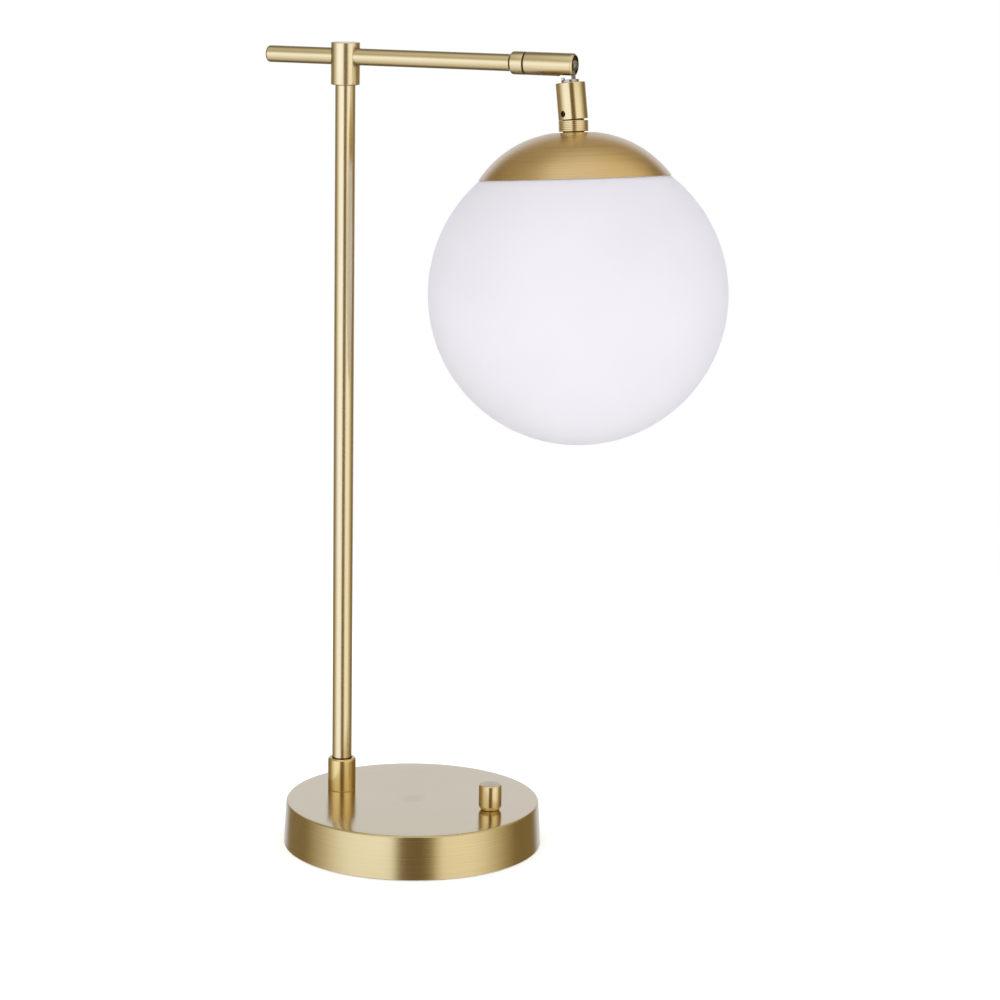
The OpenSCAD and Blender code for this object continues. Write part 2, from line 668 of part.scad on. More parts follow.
module clamp_ring() color(BRASS) at_head() difference() {
    translate([0, 0, -ring_low]) bevelled_rod(ring_r, ring_h, edge_break, edge_break);
    bore(rod_r + fit, -ring_low - 1, -ring_top + 1);
    for (i = [0:ring_grooves - 1]) translate([0, 0, -ring_low + bevel + (i + 0.5) * ring_pitch])
        turned([[ring_r + 1, 0.25], [ring_r - 0.2, 0.08], [ring_r - 0.2, -0.08], [ring_r + 1, -0.25]]);
}

module neck_washer() color(DARK_BRASS) at_head()
    ring(washer_r, rod_r + clear / 2, -dome_top, -ring_low);

module dome_cap() color(BRASS) at_head() difference() {
    turned(concat([[0, -dome_top]], dome_points(26), inner_points(26),
        [[0, -dome_top - dome_wall]]));
    bore(rod_r + clear / 2, -dome_top - 2, -dome_top + 1);
}

// Carrier of the globe, hung under the dome
carrier_edge = dome_top + dome_wall + clear + carrier_depth(carrier_r);
function carrier_depth(r) = [for (i = [0:200]) let (d = dome_h * i / 200) if (dome_r(d) > r + 1) d][0];
neck_top = carrier_edge + carrier_wall + clear;
neck_r = opening_r + neck_wall;
collar_r = neck_r + fit + collar_wall;
lug_r = collar_r + lug_w;
hook_r = collar_r + clear;
hook_low = globe_drop - sqrt(pow(globe_r, 2) - pow(hook_r, 2)) - clear;
lug_low = hook_low - lug_h - fit;
under_dome = dome_top + dome_wall;

module globe_carrier() color(STEEL) at_head() difference() {
    union() {
        turned([[0, -under_dome], [carrier_hub_r, -under_dome], [carrier_r, -carrier_edge],
            [carrier_r, -hook_low], [carrier_r - carrier_wall, -hook_low],
            [carrier_r - carrier_wall, -carrier_edge - carrier_wall],
            [carrier_hub_r, -under_dome - carrier_wall], [0, -under_dome - carrier_wall]]);
        for (turn = [0, 120, 240]) rotate(turn)
            sector(carrier_r - carrier_wall / 2, hook_r, -hook_low, -hook_low + lug_h, hook_turn);
    }
    bore(rod_r + fit, -under_dome - 3, -under_dome + 1);
}

module carrier_nut() color(STEEL) at_head() hex_nut(nut_r, rod_r + fit,
    -under_dome - carrier_wall - nut_h, -under_dome - carrier_wall);

// Lamp socket
module socket_cap() color(DARK_BRASS) at_head() difference() {
    turned([[0, -socket_top], [rod_r + 2.4, -socket_top], [rod_r + 2.4, -socket_top - 2.5],
        [socket_r - 3, -socket_top - socket_collar_h], [socket_r + 1.3, -socket_top - socket_collar_h - 3],
        [socket_r + 1.3, -socket_top - socket_cap_h - 2], [socket_r + 0.3, -socket_top - socket_cap_h - 2],
        [socket_r + 0.3, -body_top], [0, -body_top]]);
    bore(rod_r + fit, -body_top - 1, -socket_top + 1);
}

module socket_body() color(WHITE) at_head() difference() {
    translate([0, 0, -body_low]) bevelled_rod(socket_r, socket_h, 0.8, 0.5);
    bore(screw_shell_r + 0.6 + fit, -body_low - 1, -shell_top);
    for (y = [-1, 1]) translate([0, lead_pitch * y, 0])
        bore(socket_lead_r + clear / 2, -shell_top - 1, 0);
}

module screw_shell() color(BRASS) at_head() difference() {
    bore(screw_shell_r + 0.6, -shell_low, -shell_top);
    bore(screw_shell_r, -shell_low - 1, -shell_top - 0.6);
    bore(5.5, -shell_top - 1, -shell_top + 1);
}

module centre_contact() color(BRASS) at_head() bore(3.5, -base_contact + 0.05, -shell_top);

module socket_leads() color(BLACK) at_head() for (y = [-1, 1])
    translate([0, lead_pitch * y, 0]) bore(socket_lead_r, -shell_top, neck_in - 0.5);

// Bulb
bulb_base_r = screw_shell_r - clear;
module bulb_base() color(STEEL) at_head() turned([[0, -base_contact], [3, -base_contact],
    [5, -base_contact - 1.2], [bulb_base_r, -base_contact - 4], [bulb_base_r, -body_low - 2],
    [bulb_base_r - bulb_wall, -body_low - 2], [bulb_base_r - bulb_wall, -base_contact - 5],
    [5, -base_contact - 2.4], [0, -base_contact - 2.4]]);

bulb_shoulder = 50;
function bulb_outline(inset) = concat(
    [for (t = [0:0.1:1]) let (b = bulb_r - inset, s = 1 - cos(180 * t))
        [bulb_base_r - inset + (b * cos(bulb_shoulder - 22) - bulb_base_r + inset) * s / 2,
            -body_low - 2 - t * (bulb_centre - b * sin(bulb_shoulder - 22) - body_low - 2)]],
    [for (a = [bulb_shoulder - 28:-6:-84]) [(bulb_r - inset) * cos(a),
        -bulb_centre + (bulb_r - inset) * sin(a)]],
    [[0, -bulb_centre - bulb_r + inset]]);
function reversed(p) = [for (i = [len(p) - 1:-1:0]) p[i]];
module bulb_glass() color(WHITE) at_head()
    turned(concat(bulb_outline(0), reversed(bulb_outline(bulb_wall))));

// Globe
module globe_collar() color(STEEL) at_head() {
    ring(collar_r, neck_r + fit, -lug_low, -neck_top);
    for (turn = [0, 120, 240]) rotate(turn)
        sector(lug_r, collar_r - collar_wall / 2, -lug_low, -lug_low + lug_h, lug_turn);
}

module glass_globe() color(WHITE) at_head() difference() {
    union() {
        translate([0, 0, -globe_drop]) sphere(r = globe_r);
        bore(neck_r, -globe_drop + globe_r * 0.9, -neck_top);
    }
    translate([0, 0, -globe_drop]) sphere(r = globe_r - glass_wall);
    bore(opening_r, -globe_drop, -globe_drop + globe_r + 1);
}

foot_pad();
bottom_plate();
plate_screws();
ballast();
base_cover();
cord_bush();
supply_cable();
dimmer_body();
dimmer_nut();
dimmer_shaft();
knob();
post_rod();
post_nut();
post_insert();
post_sleeve();
post_tube();
tee_collar();
arm_tube();
arm_end_plug();
arm_collar();
pivot_pin();
groove_washer();
spring_washer();
pin_nut();
lamp_cable();
swivel_housing();
back_plug();
disc_springs();
rear_seat();
front_ring();
housing_cable();
swivel_ball();
stem_nut();
swivel_coupler();
stop_screw();
stem_cable();
head_rod();
upper_washer();
clamp_ring();
neck_washer();
dome_cap();
globe_carrier();
carrier_nut();
socket_cap();
socket_body();
screw_shell();
centre_contact();
socket_leads();
bulb_base();
bulb_glass();
globe_collar();
glass_globe();
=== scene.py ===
import json
from math import radians, degrees, pi, cos, sin, acos, sqrt, atan2
import bpy
import bmesh
from mathutils import Matrix, Vector


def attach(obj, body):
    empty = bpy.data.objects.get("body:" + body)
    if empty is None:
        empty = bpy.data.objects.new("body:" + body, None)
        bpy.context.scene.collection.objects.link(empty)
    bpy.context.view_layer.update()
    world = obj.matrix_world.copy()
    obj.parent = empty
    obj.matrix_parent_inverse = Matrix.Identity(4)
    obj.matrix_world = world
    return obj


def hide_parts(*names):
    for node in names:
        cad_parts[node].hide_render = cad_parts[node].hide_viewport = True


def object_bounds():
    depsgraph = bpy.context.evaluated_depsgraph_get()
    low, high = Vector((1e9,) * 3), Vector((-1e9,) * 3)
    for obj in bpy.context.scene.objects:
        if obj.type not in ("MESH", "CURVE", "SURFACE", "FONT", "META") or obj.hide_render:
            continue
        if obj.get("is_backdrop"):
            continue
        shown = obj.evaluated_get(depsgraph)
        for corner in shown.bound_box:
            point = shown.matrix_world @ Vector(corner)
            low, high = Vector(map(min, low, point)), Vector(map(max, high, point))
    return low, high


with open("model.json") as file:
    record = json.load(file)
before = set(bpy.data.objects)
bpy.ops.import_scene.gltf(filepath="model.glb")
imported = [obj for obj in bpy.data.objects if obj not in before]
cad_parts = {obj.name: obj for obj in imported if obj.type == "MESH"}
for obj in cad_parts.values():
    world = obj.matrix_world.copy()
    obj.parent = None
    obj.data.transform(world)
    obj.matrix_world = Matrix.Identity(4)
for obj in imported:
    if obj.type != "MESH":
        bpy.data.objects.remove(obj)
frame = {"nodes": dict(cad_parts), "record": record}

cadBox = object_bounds()
scene = bpy.context.scene
nodes = frame["nodes"]
mm = 0.001
print("frame loaded:", len(nodes), "nodes")

# places shared by the pieces, in mm and degrees, as the CAD has them
place = dict(postX=-55.6, knobX=59.5, baseTop=31.0, armZ=549.1, pivotX=110.5, armRoll=3.26,
             couplerTilt=7.62, stemOffset=2.6, couplerLow=35.51, neckGap=0.3, neckBend=3.44)


def move(x, y, z):
    return Matrix.Translation((x * mm, y * mm, z * mm))


def turn(axis, angle):
    return Matrix.Rotation(radians(angle), 4, axis)


postPlace = move(place["postX"], 0, 0)
knobPlace = move(place["knobX"], 0, 0)
armPlace = move(0, 0, place["armZ"]) @ turn("Y", 90)
pivotPlace = move(place["pivotX"], 0, place["armZ"]) @ turn("X", -place["armRoll"])
stemPlace = pivotPlace @ turn("Y", -place["couplerTilt"])
couplerPlace = stemPlace @ move(-place["stemOffset"], 0, 0)
headPlace = (couplerPlace @ move(0, 0, -place["couplerLow"] - place["neckGap"])
             @ turn("Y", place["neckBend"]))

# camera, fitted to the outlines of the base, the post, the arm and the globe
shot = dict(at=(844.4, -1864.1, 655.5), heading=22.73, pitch=-11.29, roll=0.89, lens=108.29)
camData = bpy.data.cameras.new("photoCamera")
camData.lens = shot["lens"]
camData.sensor_width = 36
camData.clip_end = 50
cam = bpy.data.objects.new("photoCamera", camData)
cam.matrix_world = (move(*shot["at"]) @ turn("Z", shot["heading"]) @ turn("X", 90 + shot["pitch"])
                    @ turn("Z", shot["roll"]))
scene.collection.objects.link(cam)
scene.camera = cam
scene.view_settings.view_transform = "Standard"
print("camera set")


# node helpers
def hexCol(text):
    out = []
    for i in (1, 3, 5):
        c = int(text[i:i + 2], 16) / 255
        out.append(c / 12.92 if c <= 0.04045 else ((c + 0.055) / 1.055) ** 2.4)
    return (*out, 1.0)


def addNode(tree, kind, settings=None, **links):
    # settings are the node's own properties or, with a number or a socket name, its input values
    n = tree.nodes.new(kind)
    for key, value in (settings or {}).items():
        if isinstance(key, str) and hasattr(n, key) and key not in n.inputs:
            setattr(n, key, value)
        else:
            n.inputs[key].default_value = value
    for key, source in links.items():
        name = int(key[1:]) if key[0] == "i" and key[1:].isdigit() else key.replace("_", " ")
        tree.links.new(source, n.inputs[name])
    return n


def newMaterial(name):
    mat = bpy.data.materials.new(name)
    mat.use_nodes = True
    tree = mat.node_tree
    tree.nodes.clear()
    out = addNode(tree, "ShaderNodeOutputMaterial")
    return mat, tree, out


def localCoords(tree, where=None):
    # object coordinates in metres, brought into the piece's own frame
    coords = addNode(tree, "ShaderNodeTexCoord")
    if where is None:
        return coords.outputs["Object"]
    settings = {"vector_type": "TEXTURE", "Location": where.to_translation(),
                "Rotation": where.to_euler("XYZ")}
    return addNode(tree, "ShaderNodeMapping", settings, Vector=coords.outputs["Object"]).outputs[0]


def ramp(tree, source, stops):
    n = addNode(tree, "ShaderNodeValToRGB", {}, Fac=source)
    cr = n.color_ramp
    cr.elements[0].position, cr.elements[0].color = stops[0][0], hexCol(stops[0][1])
    cr.elements[1].position, cr.elements[1].color = stops[-1][0], hexCol(stops[-1][1])
    for pos, col in stops[1:-1]:
        cr.elements.new(pos).color = hexCol(col)
    return n.outputs[0]


def twoTone(tree, source, light, dark):
    # a noise keeps mostly between 0.3 and 0.7
    return ramp(tree, source, [(0.3, dark), (0.7, light)])


def mapRange(tree, source, low, high, start=0.0, end=1.0):
    return addNode(tree, "ShaderNodeMapRange",
                   {"From Min": start, "From Max": end, "To Min": low, "To Max": high},
                   Value=source).outputs[0]


def softStep(tree, source, start, end, height=1.0):
    # a rounded step from 0 to height as source goes from start to end, falling where end is lower
    return addNode(tree, "ShaderNodeMapRange",
                   {"interpolation_type": "SMOOTHSTEP", "From Min": start, "From Max": end,
                    "To Min": 0.0, "To Max": height}, Value=source).outputs[0]


def calc(tree, operation, a, b):
    return addNode(tree, "ShaderNodeMath", {"operation": operation}, i0=a, i1=b).outputs[0]


# satin antique brass: cast or drawn brass, plated dark, then brushed back with fine wire and
# lacquered. The strokes give fine streaks and stretch the reflections across them.
# painted reflection: two keys set the size and the tone of a dark spot at a disc's centre
# painted shade at joints: two keys set how dark it gets and its tone
# painted shade: three keys set the darkening of the colour towards the outline at a flat angle: where
# it starts, where it is full, and its tone
brush = dict(round=(9, 9, 2600), length=(2600, 2600, 6), disc=(9, 9, 2600), detail=3.0, mix=0.55,
             patch=30.0, cloud=0.25, reflectionSpotR=0.011, reflectionSpotTone=0.86, grazingShadeFrom=0.12, grazingShadeTo=0.68,
             grazingShadeTone="#4A3C22", jointShadeShare=0.85, jointShadeTone="#3A2C14", smoother=0.03,
             rougher=0.04, relief=0.03, depth=0.0001)


def brushedBrass(name, light, dark, rough, where, lay, streak, aniso, grazingShade=0.0, shadedJoints=()):
    # lay is the way the strokes run. The last argument holds pairs of heights in mm, where painted
    # shade at a joint starts and where it is full
    mat, tree, out = newMaterial(name)
    p = localCoords(tree, where)
    if lay == "disc":
        sep = addNode(tree, "ShaderNodeSeparateXYZ", {}, Vector=p)
        flat = addNode(tree, "ShaderNodeCombineXYZ", {}, X=sep.outputs[0], Y=sep.outputs[1])
        far = addNode(tree, "ShaderNodeVectorMath", {"operation": "LENGTH"}, i0=flat.outputs[0])
        p = addNode(tree, "ShaderNodeCombineXYZ", {}, X=sep.outputs[0], Y=sep.outputs[1],
                    Z=far.outputs["Value"]).outputs[0]
    brushed = addNode(tree, "ShaderNodeMapping", {"Scale": brush[lay]}, Vector=p)
    fine = addNode(tree, "ShaderNodeTexNoise",
                   {"Scale": 1.0, "Detail": brush["detail"], "Roughness": brush["mix"]},
                   Vector=brushed.outputs[0])
    patches = addNode(tree, "ShaderNodeTexNoise", {"Scale": brush["patch"], "Detail": 2.0}, Vector=p)
    both = addNode(tree, "ShaderNodeMix", {"data_type": "FLOAT", "Factor": brush["cloud"]},
                   i2=fine.outputs[0], i3=patches.outputs[0])
    tone = twoTone(tree, both.outputs[0], light, dark)
    if lay == "disc":
        # painted reflection: the colour darkens to a faint spot at the centre of the disc, standing in
        # for a dark reflection there
        darkReflection = mapRange(tree, far.outputs["Value"], brush["reflectionSpotTone"], 1.0, 0.0, brush["reflectionSpotR"])
        grey = addNode(tree, "ShaderNodeCombineColor", {}, Red=darkReflection, Green=darkReflection, Blue=darkReflection)
        tone = addNode(tree, "ShaderNodeMix", {"data_type": "RGBA", "blend_type": "MULTIPLY", 0: 1.0},
                       i6=tone, i7=grey.outputs[0]).outputs[2]
    if grazingShade:
        # painted shade: the colour is darkened towards the outline at a flat angle, standing in for
        # the shade on the stroke walls there; the dark plating in the strokes also shows more at a
        # flat angle
        facing = addNode(tree, "ShaderNodeLayerWeight", {"Blend": 0.5}).outputs["Facing"]
        tone = addNode(tree, "ShaderNodeMix", {"data_type": "RGBA", 7: hexCol(brush["grazingShadeTone"])},
                       i0=softStep(tree, facing, brush["grazingShadeFrom"], brush["grazingShadeTo"], grazingShade),
                       i6=tone).outputs[2]
    height = addNode(tree, "ShaderNodeSeparateXYZ", {}, Vector=p).outputs[2]
    for shadeStart, shadeFull in shadedJoints:
        # painted shade: the colour darkens towards a joint with the next part, standing in for the
        # shadow in the joint
        tone = addNode(tree, "ShaderNodeMix", {"data_type": "RGBA", 7: hexCol(brush["jointShadeTone"])},
                       i0=softStep(tree, height, shadeStart * mm, shadeFull * mm, brush["jointShadeShare"]),
                       i6=tone).outputs[2]
    rgh = mapRange(tree, fine.outputs[0], rough - brush["smoother"] * streak,
                   rough + brush["rougher"] * streak, 0.25, 0.75)
    bump = addNode(tree, "ShaderNodeBump",
                   {"Strength": brush["relief"] * streak, "Distance": brush["depth"]},
                   Height=fine.outputs[0])
    tangent = addNode(tree, "ShaderNodeTangent", {"direction_type": "UV_MAP", "uv_map": "turned"})
    shader = addNode(tree, "ShaderNodeBsdfPrincipled",
                     {"Metallic": 1.0, "Anisotropic": aniso,
                      "Anisotropic Rotation": 0.0 if lay == "length" else 0.25},
                     Base_Color=tone, Roughness=rgh, Normal=bump.outputs[0],
                     Tangent=tangent.outputs[0])
    tree.links.new(shader.outputs[0], out.inputs[0])
    return mat


# surfaces without a lay, with a fine even grain: turned or plated metal, moulded or glazed pieces
metal = dict(shine=1.0, detail=3.0, smoother=0.03, rougher=0.05, least=0.0)
solid = dict(shine=0.0, detail=4.0, smoother=0.04, rougher=0.05, least=0.02)


def grained(kind, name, light, dark, rough, grain, relief, depth):
    mat, tree, out = newMaterial(name)
    p = localCoords(tree)
    noise = addNode(tree, "ShaderNodeTexNoise", {"Scale": grain, "Detail": kind["detail"]}, Vector=p)
    tone = twoTone(tree, noise.outputs[0], light, dark)
    rgh = mapRange(tree, noise.outputs[0], max(kind["least"], rough - kind["smoother"]),
                   rough + kind["rougher"], 0.3, 0.7)
    bump = addNode(tree, "ShaderNodeBump", {"Strength": relief, "Distance": depth},
                   Height=noise.outputs[0])
    shader = addNode(tree, "ShaderNodeBsdfPrincipled", {"Metallic": kind["shine"]},
                     Base_Color=tone, Roughness=rgh, Normal=bump.outputs[0])
    tree.links.new(shader.outputs[0], out.inputs[0])
    return mat


def plainMetal(name, light, dark, rough, grain=900):
    return grained(metal, name, light, dark, rough, grain, 0.04, 0.0001)


def plainSolid(name, light, dark, rough, grain=400, relief=0.1, depth=0.0001):
    return grained(solid, name, light, dark, rough, grain, relief, depth)


# opal glass: three layers blown together, milk white inside and clear gloss outside. Light goes
# in, scatters and comes out everywhere, so the globe looks evenly white.
opal = dict(light="#F6F5F8", dark="#F4F3F6", cloud=14.0, rough=0.3, shine=0.06, through=0.55,
            relief=0.02, depth=0.0005)


def opalGlass(name):
    mat, tree, out = newMaterial(name)
    p = localCoords(tree)
    noise = addNode(tree, "ShaderNodeTexNoise", {"Scale": opal["cloud"], "Detail": 1.0}, Vector=p)
    tone = twoTone(tree, noise.outputs[0], opal["light"], opal["dark"])
    bump = addNode(tree, "ShaderNodeBump", {"Strength": opal["relief"], "Distance": opal["depth"]},
                   Height=noise.outputs[0])
    glaze = addNode(tree, "ShaderNodeBsdfPrincipled",
                    {"Roughness": opal["rough"], "Specular IOR Level": opal["shine"]},
                    Base_Color=tone, Normal=bump.outputs[0])
    through = addNode(tree, "ShaderNodeBsdfTranslucent", {}, Color=tone)
    mixed = addNode(tree, "ShaderNodeMixShader", {0: opal["through"]}, i1=glaze.outputs[0],
                    i2=through.outputs[0])
    tree.links.new(mixed.outputs[0], out.inputs[0])
    return mat


# frosted bulb glass
frost = dict(light="#F4F4F1", dark="#EDEDEA", grain=60.0, rough=0.35)


def frostedGlass(name):
    mat, tree, out = newMaterial(name)
    p = localCoords(tree)
    noise = addNode(tree, "ShaderNodeTexNoise", {"Scale": frost["grain"], "Detail": 2.0}, Vector=p)
    tone = twoTone(tree, noise.outputs[0], frost["light"], frost["dark"])
    shader = addNode(tree, "ShaderNodeBsdfPrincipled", {"Roughness": frost["rough"]}, Base_Color=tone)
    tree.links.new(shader.outputs[0], out.inputs[0])
    return mat


# shape helpers
def arc(cx, cz, r, start, end, steps):
    return [(cx + r * cos(radians(start + (end - start) * i / steps)),
             cz + r * sin(radians(start + (end - start) * i / steps))) for i in range(steps + 1)]


def eased(points, steps=5):
    # an outline whose corners are rounded: each point is (radius, height, corner radius)
    out = []
    n = len(points)
    for i, pt in enumerate(points):
        x, z, r = (*pt, 0.0)[:3]
        if r <= 0 or i in (0, n - 1):
            out.append((x, z))
            continue
        here = Vector((x, z))
        a = Vector(points[i - 1][:2]) - here
        b = Vector(points[i + 1][:2]) - here
        reach = min(r, a.length * 0.49, b.length * 0.49)
        p0, p2 = here + a.normalized() * reach, here + b.normalized() * reach
        for k in range(steps + 1):
            t = k / steps
            q = (1 - t) ** 2 * p0 + 2 * t * (1 - t) * here + t * t * p2
            out.append((q.x, q.y))
    return out


def finish(bm, name, body, stands, mat, sharp=32):
    bmesh.ops.recalc_face_normals(bm, faces=bm.faces)
    for e in bm.edges:
        e.smooth = not (e.is_manifold and e.calc_face_angle(0) > radians(sharp))
    for f in bm.faces:
        f.smooth = True
    mesh = bpy.data.meshes.new(name)
    bm.to_mesh(mesh)
    bm.free()
    obj = bpy.data.objects.new(name, mesh)
    scene.collection.objects.link(obj)
    mesh.materials.append(mat)
    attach(obj, body)
    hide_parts(*stands)
    return obj


lathe = dict(onAxis=1e-6, weld=1e-7, centre=1e-9, uvScale=5)


def spun(outline, where, steps=128):
    # turns an outline of (radius, height) in mm about the local Z axis. The UV map "turned" runs
    # round the piece and along its outline, which gives the metal its brushing direction.
    bm = bmesh.new()
    ring = [bm.verts.new((r * mm, 0, z * mm)) for r, z in outline]
    edges = [bm.edges.new(pair) for pair in zip(ring, ring[1:])]
    if max(outline[0][0], outline[-1][0]) > lathe["onAxis"]:
        edges.append(bm.edges.new((ring[-1], ring[0])))
    bmesh.ops.spin(bm, geom=ring + edges, cent=(0, 0, 0), axis=(0, 0, 1), dvec=(0, 0, 0),
                   angle=2 * pi, steps=steps, use_merge=True, use_duplicate=False)
    bmesh.ops.remove_doubles(bm, verts=bm.verts, dist=lathe["weld"])
    uv = bm.loops.layers.uv.new("turned")
    for f in bm.faces:
        mid = f.calc_center_median()
        base = atan2(mid.y, mid.x)
        for loop in f.loops:
            co = loop.vert.co
            far = sqrt(co.x ** 2 + co.y ** 2)
            a = atan2(co.y, co.x) if far > lathe["centre"] else base
            while a - base > pi:
                a -= 2 * pi
            while a - base < -pi:
                a += 2 * pi
            loop[uv].uv = (a / (2 * pi), (co.z + far) * lathe["uvScale"])
    bmesh.ops.transform(bm, matrix=where, verts=bm.verts)
    return bm


def cut(obj, cutters, operation="DIFFERENCE"):
    # takes each cutter's mesh out of obj, or joins it on
    for cutter in cutters:
        mod = obj.modifiers.new("cut", "BOOLEAN")
        mod.object = cutter
        mod.operation = operation
        mod.solver = "EXACT"
        bpy.context.view_layer.update()
        depsgraph = bpy.context.evaluated_depsgraph_get()
        done = bpy.data.meshes.new_from_object(obj.evaluated_get(depsgraph))
        obj.modifiers.clear()
        old, obj.data = obj.data, done
        bpy.data.meshes.remove(old)
        bpy.data.objects.remove(cutter)


def tool(bm, name):
    mesh = bpy.data.meshes.new(name)
    bmesh.ops.recalc_face_normals(bm, faces=bm.faces)
    bm.to_mesh(mesh)
    bm.free()
    obj = bpy.data.objects.new(name, mesh)
    scene.collection.objects.link(obj)
    return obj


def rod(r, low, high, where, name, steps=48):
    return tool(spun([(0, low), (r, low), (r, high), (0, high)], where, steps), name)


blockUv = dict(side=40, leanY=13, leanZ=29)


def block(size, where):
    bm = bmesh.new()
    bmesh.ops.create_cube(bm, size=1)
    bmesh.ops.scale(bm, vec=[s * mm for s in size], verts=bm.verts)
    uv = bm.loops.layers.uv.new("turned")
    for f in bm.faces:
        for loop in f.loops:
            co = loop.vert.co
            loop[uv].uv = (co.y * blockUv["side"] + co.x * blockUv["leanY"],
                           co.z * blockUv["side"] + co.x * blockUv["leanZ"])
    bmesh.ops.transform(bm, matrix=where, verts=bm.verts)
    return bm


def paintFaces(obj, mat, test):
    # a material of their own for the faces whose centre passes the test
    obj.data.materials.append(mat)
    for f in obj.data.polygons:
        if test(f.center):
            f.material_index = len(obj.data.materials) - 1


# materials, one for each slot of the record and some for single pieces
mats = {
    "felt": plainSolid("feltPad", "#1B1B1D", "#0C0C0D", 0.85, 900, 0.5, 0.0004),
    "plated_steel": plainMetal("zincSteel", "#A9ACB0", "#8E9196", 0.32),
    "ball_steel": plainMetal("ballSteel", "#8A897F", "#77766D", 0.28),
    "ballast_iron": plainSolid("castIron", "#2A2B2D", "#1B1C1E", 0.7, 300, 0.4, 0.0004),
    "dark_brass": plainMetal("darkBrass", "#6E5B3A", "#5B4A2C", 0.38),
    "black_plastic": plainSolid("blackNylon", "#17171A", "#101012", 0.45, 600),
    "cable_white": plainSolid("cableWhite", "#E4E3DF", "#DAD9D4", 0.45, 500),
    "porcelain": plainSolid("porcelain", "#ECEAE3", "#E4E1D8", 0.12, 80, 0.03),
    "contact_brass": plainMetal("contactBrass", "#C9A860", "#B8954F", 0.25),
    "bulb_clear": frostedGlass("bulbFrost"),
    "opal_glass": opalGlass("opalGlass"),
    "base_brass": brushedBrass("baseBrassRound", "#D6C69C", "#CBB98C", 0.24, None, "round", 1.0, 0.7),
    "post_brass": brushedBrass("postBrass", "#E6D9B8", "#DECFAB", 0.2, None, "length", 0.4, 0.5),
    # the arm's colour gets painted shade towards its outline
    "arm_brass": brushedBrass("armBrass", "#E1D2AE", "#D8C89F", 0.22, armPlace, "round", 0.8, 0.5,
                              grazingShade=0.62),
    "knuckle_brass": brushedBrass("knuckleBrass", "#E2D3AF", "#DAC9A1", 0.19, couplerPlace, "round",
                                  0.6, 0.5),
    "knob_brass": brushedBrass("knobBrass", "#E6D5AB", "#DDCA9D", 0.2, knobPlace, "round", 0.5, 0.5),
    "dome_brass": brushedBrass("domeBrass", "#DFC391", "#CFB37F", 0.28, headPlace, "round", 1.0, 0.6),
}
# the tube gets painted shade where it goes into the sleeve and into the tee
tubeBrass = brushedBrass("tubeBrass", "#E6D9B8", "#DECFAB", 0.2, None, "length", 0.4, 0.5,
                         shadedJoints=((55.7, 54.9), (529.3, 529.9)))
sleeveBrass = brushedBrass("sleeveBrass", "#E3CD98", "#DAC289", 0.2, None, "length", 0.4, 0.5)
# the base's top carries a painted dark reflection at its centre
topBrass = brushedBrass("baseBrassTop", "#DBCBA5", "#D6C59D", 0.15, None, "disc", 0.4, 0.5)
ringBrass = brushedBrass("ringBrass", "#EADBB6", "#E2D2A8", 0.19, headPlace, "round", 0.4, 0.5)
# the knob's top carries a painted dark reflection at its centre
knobTopBrass = brushedBrass("knobBrassTop", "#CFBD98", "#C8B48C", 0.2, knobPlace, "disc", 0.4, 0.5)
screwBrass = plainMetal("dullScrew", "#84744C", "#6E603C", 0.38)
sinkDark = plainMetal("sinkPatina", "#4A3B20", "#3A2D17", 0.42)
grooveNylon = plainSolid("brownNylon", "#574730", "#463823", 0.5, 600)
boreDark = plainMetal("boreDarkGrey", "#57534C", "#45423D", 0.4)
hubSteel = plainMetal("hubSteel", "#C9C1BC", "#B4ACA8", 0.24)
for part in frame["record"]["subparts"]:
    node = nodes[part["node"]]
    node.data.materials.clear()
    node.data.materials.append(mats[part["material_slot"]])
nodes["stop_screw"].data.materials[0] = screwBrass
nodes["groove_washer"].data.materials[0] = grooveNylon
print("materials made:", len(mats))


# base
base = dict(r=90.7, taper=1.6, h=place["baseTop"], edge=1.6, edgeFrom=4, wall=1.2, lift=0.6,
            inset=0.5, rings=(80, 60, 40, 20, 5, 0), topBand=0.2)
rTop = base["r"] - base["taper"]
ceilingZ = base["h"] - base["wall"]
outline = ([(base["r"] - base["wall"], base["lift"]), (base["r"], base["lift"])]
           + arc(rTop - base["edge"], base["h"] - base["edge"], base["edge"], base["edgeFrom"], 90, 12)
           + [(r, base["h"]) for r in base["rings"]]
           + [(0, ceilingZ), (rTop - base["edge"], ceilingZ),
              (rTop - base["wall"], base["h"] - base["edge"] - base["inset"])])
cover = finish(spun(outline, Matrix.Identity(4), 192), "baseCoverSpun", "stand", ("base_cover",),
               mats["base_brass"])
paintFaces(cover, topBrass, lambda at: at.z > (base["h"] - base["topBand"]) * mm)

# knob
knob = dict(r=8.05, foot=31.25, footR=6.55, neck=33.8, top=49.2, bevel=0.6, room=5.5, roof=36.0,
            bore=3.05, boreTop=46.7, footSoft=0.15, neckSoft=0.25, topSoft=0.2, topBand=0.05)
outline = eased([(knob["room"], knob["foot"]), (knob["footR"], knob["foot"], knob["footSoft"]),
                 (knob["r"], knob["neck"], knob["neckSoft"]),
                 (knob["r"], knob["top"] - knob["bevel"], knob["topSoft"]),
                 (knob["r"] - knob["bevel"], knob["top"], knob["topSoft"]), (0, knob["top"])])
outline += [(0, knob["boreTop"]), (knob["bore"], knob["boreTop"]), (knob["bore"], knob["roof"]),
            (knob["room"], knob["roof"])]
knobPiece = finish(spun(outline, knobPlace, 96), "knobTurned", "knob_set", ("knob",),
                   mats["knob_brass"])
paintFaces(knobPiece, knobTopBrass, lambda at: at.z > (knob["top"] - knob["topBand"]) * mm)
print("base and knob made")

